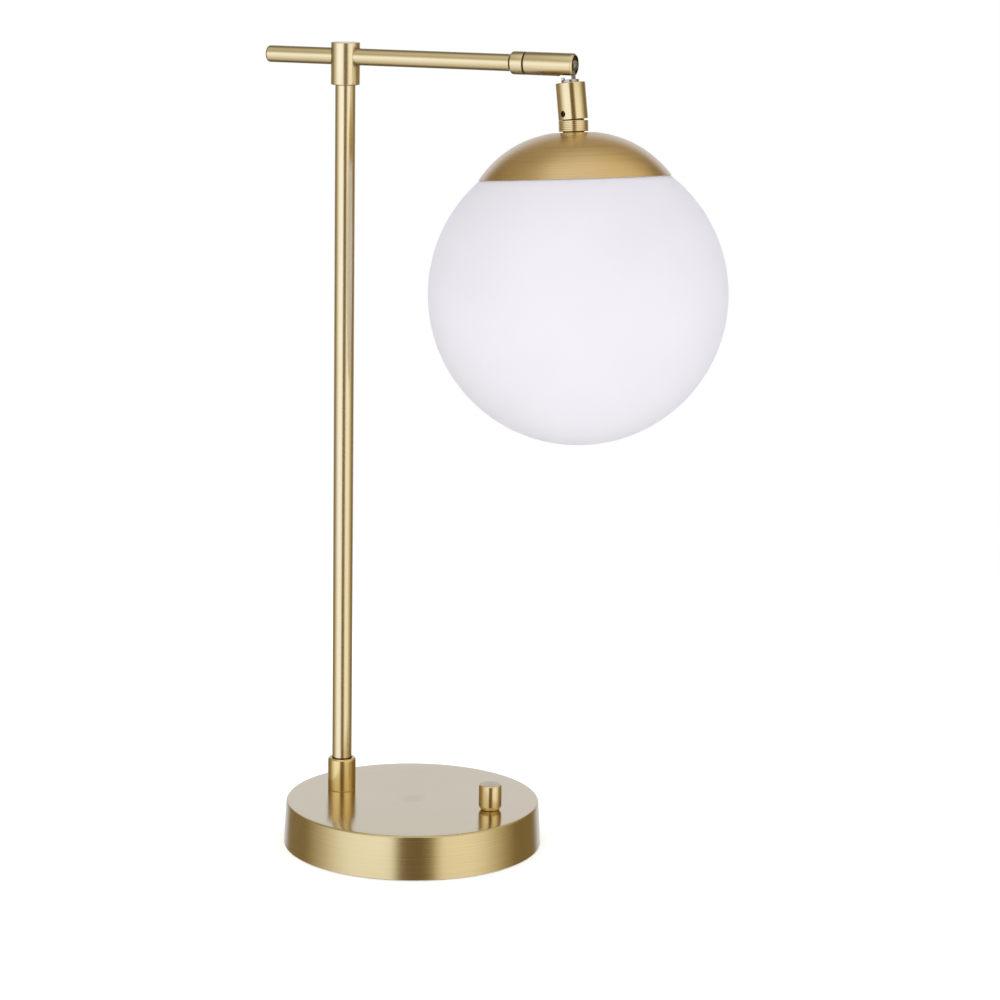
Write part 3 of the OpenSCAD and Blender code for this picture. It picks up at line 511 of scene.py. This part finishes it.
# post
sleeve = dict(r=9.9, foot=place["baseTop"], top=54.5, bore=7.3, floor=34.0, pipe=4.95, chamfer=1.0,
              chamferSoft=0.5, lipSoft=0.15, footIn=0.2, footUp=0.5, lowSoft=0.1, footSoft=0.3)
outline = eased([(sleeve["pipe"], sleeve["foot"]),
                 (sleeve["r"] - sleeve["footIn"], sleeve["foot"], sleeve["lowSoft"]),
                 (sleeve["r"], sleeve["foot"] + sleeve["footUp"], sleeve["footSoft"]),
                 (sleeve["r"], sleeve["top"] - sleeve["chamfer"], sleeve["chamferSoft"]),
                 (sleeve["r"] - sleeve["chamfer"], sleeve["top"], sleeve["chamferSoft"]),
                 (sleeve["bore"], sleeve["top"], sleeve["lipSoft"]),
                 (sleeve["bore"], sleeve["floor"]), (sleeve["pipe"], sleeve["floor"])])
finish(spun(outline, postPlace), "sleeveTurned", "stand", ("post_sleeve",),
       sleeveBrass)

tube = dict(r=6.95, wall=1.2, foot=sleeve["floor"], top=540.77)
outline = [(tube["r"], tube["foot"]), (tube["r"], tube["top"]),
           (tube["r"] - tube["wall"], tube["top"]), (tube["r"] - tube["wall"], tube["foot"])]
finish(spun(outline, postPlace, 96), "postTubeDrawn", "stand", ("post_tube",), tubeBrass)

tee = dict(r=9.95, foot=530.0, top=558.8, soft=0.8, bore=7.0, armBore=5.78, holeFrom=-80, holeTo=-30,
           mouth=0.4, mouthAngle=40, nearBore=0.05, nearSide=0.1)
outline = eased([(tee["bore"], tee["foot"]), (tee["r"], tee["foot"], tee["soft"]),
                 (tee["r"], tee["top"], tee["soft"]), (0, tee["top"])])
outline += [(0, tube["top"]), (tee["bore"], tube["top"])]
teePiece = finish(spun(outline, postPlace), "teeTurned", "stand", ("tee_collar",),
                  mats["post_brass"])
cut(teePiece, [rod(tee["armBore"], tee["holeFrom"], tee["holeTo"], armPlace, "armHole", 96)])


def atMouth(co):
    fromArm = (co - armPlace.translation).yz.length
    fromPost = (co - postPlace.translation).xy.length
    return (abs(fromArm - tee["armBore"] * mm) < tee["nearBore"] * mm
            and fromPost > (tee["r"] - tee["nearSide"]) * mm)


# the edges where the arm's hole opens in the tee's side are eased
bm = bmesh.new()
bm.from_mesh(teePiece.data)
mouth = [e for e in bm.edges if e.is_manifold and e.calc_face_angle(0) > radians(tee["mouthAngle"])
         and all(atMouth(v.co) for v in e.verts)]
bmesh.ops.bevel(bm, geom=mouth, offset=tee["mouth"] * mm, segments=3, profile=0.5, affect="EDGES",
                clamp_overlap=True)
bm.to_mesh(teePiece.data)
bm.free()
print("post made")

# arm
arm = dict(r=5.73, wall=1.0, back=-114.4, capR=1.9, plug=2.4, plugR=4.68, plugL=6, front=76.9)
plugX = arm["back"] + arm["plug"]
outline = [(arm["r"], plugX), (arm["r"], arm["front"]), (arm["r"] - arm["wall"], arm["front"]),
           (arm["r"] - arm["wall"], plugX)]
finish(spun(outline, armPlace, 96), "armTubeDrawn", "stand", ("arm_tube",),
       mats["arm_brass"])
outline = ([(0, arm["back"])]
           + arc(arm["r"] - arm["capR"], arm["back"] + arm["capR"], arm["capR"], 270, 360, 10)
           + [(arm["r"], plugX), (arm["plugR"], plugX), (arm["plugR"], plugX + arm["plugL"]),
              (0, plugX + arm["plugL"])])
finish(spun(outline, armPlace, 96), "armEndCap", "stand", ("arm_end_plug",),
       mats["arm_brass"])

collar = dict(r=7.7, bore=5.78, start=66.6, long=10.3, chamfer=1.85, chamferSoft=0.5, soft=0.3)
collarEnd = collar["start"] + collar["long"]
outline = eased([(collar["bore"], collar["start"]),
                 (collar["r"] - collar["chamfer"], collar["start"], collar["soft"]),
                 (collar["r"], collar["start"] + collar["chamfer"], collar["chamferSoft"]),
                 (collar["r"], collarEnd, collar["soft"]), (collar["bore"], collarEnd)])
finish(spun(outline, armPlace, 96), "armCollarTurned", "stand", ("arm_collar",),
       mats["arm_brass"])

housing = dict(r=7.7, start=78.1, end=112.5, bore=6.2, web=81.1, pin=4.73, chamfer=1.15,
               chamferSoft=0.2, lip=0.15, lipSoft=0.05, backSoft=0.3, slotL=60, slotW=6.6, slotH=12,
               slotBack=9.6, inside=0.02)
outline = eased([(housing["pin"], housing["start"]),
                 (housing["r"], housing["start"], housing["backSoft"]),
                 (housing["r"], housing["end"] - housing["chamfer"], housing["chamferSoft"]),
                 (housing["r"] - housing["chamfer"], housing["end"], housing["chamferSoft"]),
                 (housing["bore"] + housing["lip"], housing["end"], housing["lipSoft"]),
                 (housing["bore"], housing["end"] - housing["lip"], housing["lipSoft"]),
                 (housing["bore"], housing["web"]), (housing["pin"], housing["web"])])
housingPiece = finish(spun(outline, armPlace), "housingTurned", "housing_set", ("swivel_housing",),
                      mats["arm_brass"])
slotPlace = pivotPlace @ move(housing["slotL"] / 2 - housing["slotBack"], 0, -housing["slotH"] / 2)
slot = block((housing["slotL"], housing["slotW"], housing["slotH"]), slotPlace)
cut(housingPiece, [tool(slot, "slot")])


def inHousing(at):
    far = (at - armPlace.translation).yz.length
    return far < (housing["bore"] + housing["inside"]) * mm and at.x > housing["web"] * mm


# the inside of the housing's bore is coloured dark grey
paintFaces(housingPiece, boreDark, inHousing)
print("arm made")

# swivel
coupler = dict(r=9.9, drop=11.36, low=place["couplerLow"], hub=5.9, hubH=2.0, roof=4.0, cavity=6.2,
               cavityLow=25.81, recess=0.835, recessR=7.5, footSoft=0.15, topSoft=0.5, rootSoft=0.15,
               hubSoft=0.4, hubBand=0.05, skin=0.02, stemBore=1.45, stemHole=(-17, -8), rodBore=4.9,
               rodHole=(-2, 10.5))
foot = -coupler["low"]
shoulder = -coupler["drop"]
hubTop = shoulder + coupler["hubH"]
cavityTop = shoulder - coupler["roof"]
recessTop = foot + coupler["recess"]
outline = eased([(coupler["recessR"], foot), (coupler["r"], foot, coupler["footSoft"]),
                 (coupler["r"], shoulder, coupler["topSoft"]),
                 (coupler["hub"], shoulder, coupler["rootSoft"]),
                 (coupler["hub"], hubTop, coupler["hubSoft"]), (0, hubTop)])
outline += [(0, cavityTop), (coupler["cavity"], cavityTop),
            (coupler["cavity"], -coupler["cavityLow"]), (0, -coupler["cavityLow"]),
            (0, recessTop), (coupler["recessR"], recessTop)]
couplerPiece = finish(spun(outline, couplerPlace), "couplerTurned", "knuckle", ("swivel_coupler",),
                      mats["knuckle_brass"])

lug = dict(thick=1.8, wide=2.4, high=3.7, root=1, inward=0.06, bevel=0.22)
lugX = -coupler["hub"] + lug["inward"] + lug["thick"] / 2
bm = block((lug["thick"], lug["wide"], lug["high"] + lug["root"]),
           couplerPlace @ move(lugX, 0, shoulder + (lug["high"] - lug["root"]) / 2))
bmesh.ops.bevel(bm, geom=bm.edges[:], offset=lug["bevel"] * mm, segments=3, affect="EDGES")
cut(couplerPiece, [tool(bm, "lug")], "UNION")

screw = dict(up=3.75, side=-110, r=1.55, start=4, end=11, sinkR=2.35, sinkDepth=0.55, sinkOut=0.15)
screwPlace = (couplerPlace @ move(0, 0, foot + screw["up"]) @ turn("Z", screw["side"])
              @ turn("Y", 90))
bm = spun([(0, screw["start"]), (screw["r"], screw["start"]),
           (screw["r"], coupler["r"] - screw["sinkDepth"]),
           (screw["sinkR"], coupler["r"] + screw["sinkOut"]), (screw["sinkR"], screw["end"]),
           (0, screw["end"])], screwPlace, 48)
cut(couplerPiece, [tool(bm, "screwHole"),
                   rod(coupler["stemBore"], *coupler["stemHole"], stemPlace, "stemHole"),
                   rod(coupler["rodBore"], *coupler["rodHole"], headPlace, "rodHole", 96)])
toCoupler = couplerPlace.inverted()
toScrew = screwPlace.inverted()


def onHub(at):
    return (toCoupler @ at).z > (shoulder + coupler["hubBand"]) * mm


def inSink(at):
    sunk = toScrew @ at
    return (sunk.z > 0 and sunk.xy.length < screw["sinkR"] * mm
            and (toCoupler @ at).xy.length < (coupler["r"] - coupler["skin"]) * mm)


paintFaces(couplerPiece, hubSteel, onHub)
paintFaces(couplerPiece, sinkDark, inSink)
print("swivel made")

# head
ring = dict(r=9.95, top=-0.397, low=-7.597, bore=4.9, edge=0.15, bevel=0.6, grooves=5, deep=0.13,
            wide=0.24, floor=0.08)
pitch = (ring["top"] - ring["low"] - 2 * ring["bevel"]) / ring["grooves"]
outline = [(ring["bore"], ring["low"]), (ring["r"] - ring["edge"], ring["low"]),
           (ring["r"], ring["low"] + ring["edge"])]
for i in range(ring["grooves"]):
    z = ring["low"] + ring["bevel"] + (i + 0.5) * pitch
    outline += [(ring["r"], z - ring["wide"]), (ring["r"] - ring["deep"], z - ring["floor"]),
                (ring["r"] - ring["deep"], z + ring["floor"]), (ring["r"], z + ring["wide"])]
outline += [(ring["r"], ring["top"] - ring["edge"]), (ring["r"] - ring["edge"], ring["top"]),
            (ring["bore"], ring["top"])]
finish(spun(outline, headPlace), "clampRingRidged", "head", ("clamp_ring",),
       ringBrass, sharp=60)

dome = dict(rim=64.1, top=8.397, h=29.7, wall=0.7, bore=5.0, axisH=101.5, power=2.265, flat=0.83,
            steps=40, crowd=1.6, topThin=0.35, rimRise=0.45)


def curveR(depth):
    # the outline is a squarish ellipse with a flat top
    up = (dome["axisH"] - dome["flat"] - depth) / dome["axisH"]
    return (1 - up ** dome["power"]) ** (1 / dome["power"])


def domeR(depth):
    return dome["rim"] * curveR(depth) / curveR(dome["h"])


depths = [dome["h"] * (i / dome["steps"]) ** dome["crowd"] for i in range(dome["steps"] + 1)]
outer = [(domeR(depth), -dome["top"] - depth) for depth in depths]
inner = []
for i, depth in enumerate(depths):
    share = i / dome["steps"]
    inward = dome["wall"] * (dome["topThin"] + (1 - dome["topThin"]) * share)
    down = dome["wall"] * (1 - dome["rimRise"] * share) if i < dome["steps"] else 0
    inner.append((domeR(depth) - inward, -dome["top"] - depth - down))
outline = ([(dome["bore"], -dome["top"])] + outer + inner[::-1]
           + [(dome["bore"], -dome["top"] - dome["wall"])])
finish(spun(outline, headPlace, 192), "domeSpun", "head", ("dome_cap",),
       mats["dome_brass"])

# globe
globe = dict(r=100.0, wall=2.0, drop=115.753, open=32.0, neckR=34.6, neckTop=-18.865, neckL=3,
             neckSoft=0.5, steps=88)
inR = globe["r"] - globe["wall"]
outEnd = degrees(acos(globe["neckR"] / globe["r"]))
inEnd = degrees(acos(globe["open"] / inR))
outline = arc(0, -globe["drop"], globe["r"], -90, outEnd, globe["steps"])
outline += eased([outline[-1], (globe["neckR"], globe["neckTop"], globe["neckSoft"]),
                  (globe["open"], globe["neckTop"], globe["neckSoft"]),
                  (globe["open"], globe["neckTop"] - globe["neckL"])])[1:]
outline += arc(0, -globe["drop"], inR, inEnd, -90, globe["steps"])
outline[0] = (0, outline[0][1])
outline[-1] = (0, outline[-1][1])
finish(spun(outline, headPlace, 192), "globeBlown", "globe", ("glass_globe",),
       mats["opal_glass"])
print("head and globe made")


# floor: paper white round the lamp, fading into the white background
stage = dict(r=1.6, drop=0.05, light="#F7F7F7", dark="#F4F4F4", speck=90.0, glow=0.22, fadeFrom=0.5,
             fadeTo=1.1)
floorMat, tree, out = newMaterial("floorWhite")
p = localCoords(tree)
far = addNode(tree, "ShaderNodeVectorMath", {"operation": "LENGTH"}, i0=p)
fade = mapRange(tree, far.outputs["Value"], 0.0, 1.0, stage["fadeFrom"], stage["fadeTo"])
speck = addNode(tree, "ShaderNodeTexNoise", {"Scale": stage["speck"], "Detail": 3.0}, Vector=p)
paper = twoTone(tree, speck.outputs[0], stage["light"], stage["dark"])
matt = addNode(tree, "ShaderNodeBsdfDiffuse", {}, Color=paper)
lift = addNode(tree, "ShaderNodeEmission", {"Strength": stage["glow"]})
white = addNode(tree, "ShaderNodeEmission", {"Strength": 1.0})
shaded = addNode(tree, "ShaderNodeAddShader", {}, i0=matt.outputs[0], i1=lift.outputs[0])
seen = addNode(tree, "ShaderNodeMixShader", {}, i0=fade, i1=shaded.outputs[0], i2=white.outputs[0])
path = addNode(tree, "ShaderNodeLightPath")
mixed = addNode(tree, "ShaderNodeMixShader", {}, i0=path.outputs["Is Camera Ray"], i1=matt.outputs[0],
                i2=seen.outputs[0])
# metal sees the painted room through the floor
clear = addNode(tree, "ShaderNodeBsdfTransparent")
mixed = addNode(tree, "ShaderNodeMixShader", {}, i0=path.outputs["Is Glossy Ray"], i1=mixed.outputs[0],
                i2=clear.outputs[0])
# nothing is seen of the floor from below
under = addNode(tree, "ShaderNodeNewGeometry").outputs["Backfacing"]
mixed = addNode(tree, "ShaderNodeMixShader", {}, i0=under, i1=mixed.outputs[0], i2=clear.outputs[0])
tree.links.new(mixed.outputs[0], out.inputs[0])
bm = bmesh.new()
bmesh.ops.create_circle(bm, cap_ends=True, segments=96, radius=stage["r"])
mesh = bpy.data.meshes.new("floor")
bm.to_mesh(mesh)
bm.free()
mesh.materials.append(floorMat)
floor = bpy.data.objects.new("floor", mesh)
floor.location.z = -stage["drop"] * mm
scene.collection.objects.link(floor)
floor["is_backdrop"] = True

# world
world = bpy.data.worlds.new("studio")
scene.world = world
world.use_nodes = True
tree = world.node_tree
tree.nodes.clear()
out = addNode(tree, "ShaderNodeOutputWorld")
path = addNode(tree, "ShaderNodeLightPath")

# the room that metal and glass see, painted by direction from the lamp: two tall white walls beside
# the camera with a dark gap between them, a lamp overhead, a white sweep behind and on the floor.
# Angles are degrees from the camera's side, positive to its right, or degrees of height. The rest
# are parts of 1, apart from the two strengths.
room = dict(left=(-125, -46, -18, -6), right=(13, 31, 50, 122), wallTop=(66, 4),
            wallFoot=(-1.1, -0.55), lowWall=(-0.36, -0.12, 0.2), floor=(-0.65, 0.25, 0.62),
            floorFrom=(-25, -45), ceiling=(15, 37, 0.35), lamp=(-0.6, 0.0, 0.38),
            lampLeft=(-0.7, -0.3), lampLean=0.4, gap=(-8, 14, 5), gapTop=(60, 45),
            back=(-0.5, -0.1, 0.66), edge=0.1, warmSide=(0.0, 0.5), warmTone="#F8F2E2",
            behind=(-0.75, -0.93), behindFoot=(-60, -30), behindTone="#C0C4D3", fill=1.13,
            strength=1.5)
h = radians(shot["heading"])
coords = addNode(tree, "ShaderNodeTexCoord")
direction = coords.outputs["Generated"]


def along(vector):
    return addNode(tree, "ShaderNodeVectorMath", {"operation": "DOT_PRODUCT", 1: vector},
                   i0=direction).outputs["Value"]


def byHeight(start, end):
    # a soft step between two heights, in degrees above the horizon
    return softStep(tree, up, sin(radians(start)), sin(radians(end)))


toCamera = along((sin(h), -cos(h), 0))
toRight = along((cos(h), sin(h), 0))
up = along((0, 0, 1))
angle = calc(tree, "ARCTAN2", toRight, toCamera)
walls = []
for side in ("left", "right"):
    a, b, c, d = (radians(v) for v in room[side])
    walls.append(calc(tree, "MULTIPLY", softStep(tree, angle, a, b), softStep(tree, angle, d, c)))
wall = calc(tree, "MAXIMUM", *walls)
wall = calc(tree, "MULTIPLY", wall, byHeight(*room["wallTop"]))
wall = calc(tree, "MULTIPLY", wall, softStep(tree, up, *room["wallFoot"]))
low, high, loss = room["lowWall"]
wall = calc(tree, "MULTIPLY", wall, mapRange(tree, up, 1 - loss, 1.0, low, high))
ground = calc(tree, "MULTIPLY", softStep(tree, toCamera, *room["floor"]),
              byHeight(*room["floorFrom"]))
low, high, amount = room["ceiling"]
lean = addNode(tree, "ShaderNodeMath", {"operation": "MULTIPLY_ADD", 1: room["lampLean"]}, i0=toRight,
               i2=toCamera).outputs[0]
lamp = calc(tree, "MULTIPLY", softStep(tree, lean, *room["lamp"]),
            softStep(tree, toRight, *room["lampLeft"]))
# the ceiling is darker towards the back, which draws the top edge of the arm
rear, front, share = room["back"]
ceiling = mapRange(tree, toCamera, amount * share, amount, rear, front)
overhead = calc(tree, "ADD", lamp, ceiling)
overhead = calc(tree, "MULTIPLY", overhead, byHeight(low, high))
low, high, soft = room["gap"]
gap = calc(tree, "MULTIPLY", softStep(tree, angle, radians(low - soft), radians(low + soft)),
           softStep(tree, angle, radians(high + soft), radians(high - soft)))
gap = calc(tree, "MULTIPLY", gap, byHeight(*room["gapTop"]))
shade = mapRange(tree, gap, 1.0, 0.0)
lit = calc(tree, "MAXIMUM", wall, calc(tree, "MAXIMUM", overhead, ground))
lit = addNode(tree, "ShaderNodeMath", {"operation": "MAXIMUM", 1: room["edge"]}, i0=lit).outputs[0]
bright = calc(tree, "MULTIPLY", lit, shade)
roomTone = ramp(tree, bright, [(0.0, "#66573D"), (0.08, "#75674D"), (0.25, "#958B74"),
                               (0.55, "#BDB9AC"), (0.8, "#DFE0E4"), (1.0, "#F1F4FF")])
# the right-hand wall is a little warmer
roomTone = addNode(tree, "ShaderNodeMix", {"data_type": "RGBA", "blend_type": "MULTIPLY",
                                           7: hexCol(room["warmTone"])},
                   i0=softStep(tree, toRight, *room["warmSide"]), i6=roomTone).outputs[2]
behind = calc(tree, "MULTIPLY", softStep(tree, toCamera, *room["behind"]),
              byHeight(*room["behindFoot"]))
roomTone = addNode(tree, "ShaderNodeMix", {"data_type": "RGBA", 7: hexCol(room["behindTone"])},
                   i0=behind, i6=roomTone).outputs[2]
studio = addNode(tree, "ShaderNodeBackground", {"Strength": room["strength"]}, Color=roomTone)
soft = addNode(tree, "ShaderNodeBackground", {"Strength": room["fill"], "Color": (1, 1, 1, 1)})
white = addNode(tree, "ShaderNodeBackground", {"Strength": 1.0, "Color": (1, 1, 1, 1)})
glossy = addNode(tree, "ShaderNodeMixShader", {}, i0=path.outputs["Is Glossy Ray"],
                 i1=soft.outputs[0], i2=studio.outputs[0])
clearRay = calc(tree, "MAXIMUM", path.outputs["Is Camera Ray"], path.outputs["Is Transmission Ray"])
seen = addNode(tree, "ShaderNodeMixShader", {}, i0=clearRay, i1=glossy.outputs[0], i2=white.outputs[0])
tree.links.new(seen.outputs[0], out.inputs[0])
world.cycles.sampling_method = "NONE"


# lamps, which only light what isn't metal: azimuth, height, distance, size and watts. The azimuth
# is turned from the camera's side of the lamp, positive to its right.
boxes = dict(leftBox=(-52, 0.9, 1.9, (1.5, 2.0), 2.0), rightBox=(50, 0.9, 1.9, (1.4, 2.0), 2.0),
             lowBox=(5, 0.06, 1.1, (1.8, 0.5), 5.5))
aim = Vector((0, 0, 0.3))
for name, (azimuth, height, far, size, watts) in boxes.items():
    a = radians(shot["heading"] + azimuth)
    data = bpy.data.lights.new(name, "AREA")
    data.shape = "RECTANGLE"
    data.size, data.size_y = size
    data.energy = watts
    box = bpy.data.objects.new(name, data)
    at = Vector((far * sin(a), -far * cos(a), height))
    box.location = at
    box.rotation_euler = (aim - at).to_track_quat("-Z", "Y").to_euler()
    box.visible_camera = False
    box.visible_glossy = False
    scene.collection.objects.link(box)
print("stage set")

sizes = [[list(map(float, corner)) for corner in box] for box in (cadBox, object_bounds())]
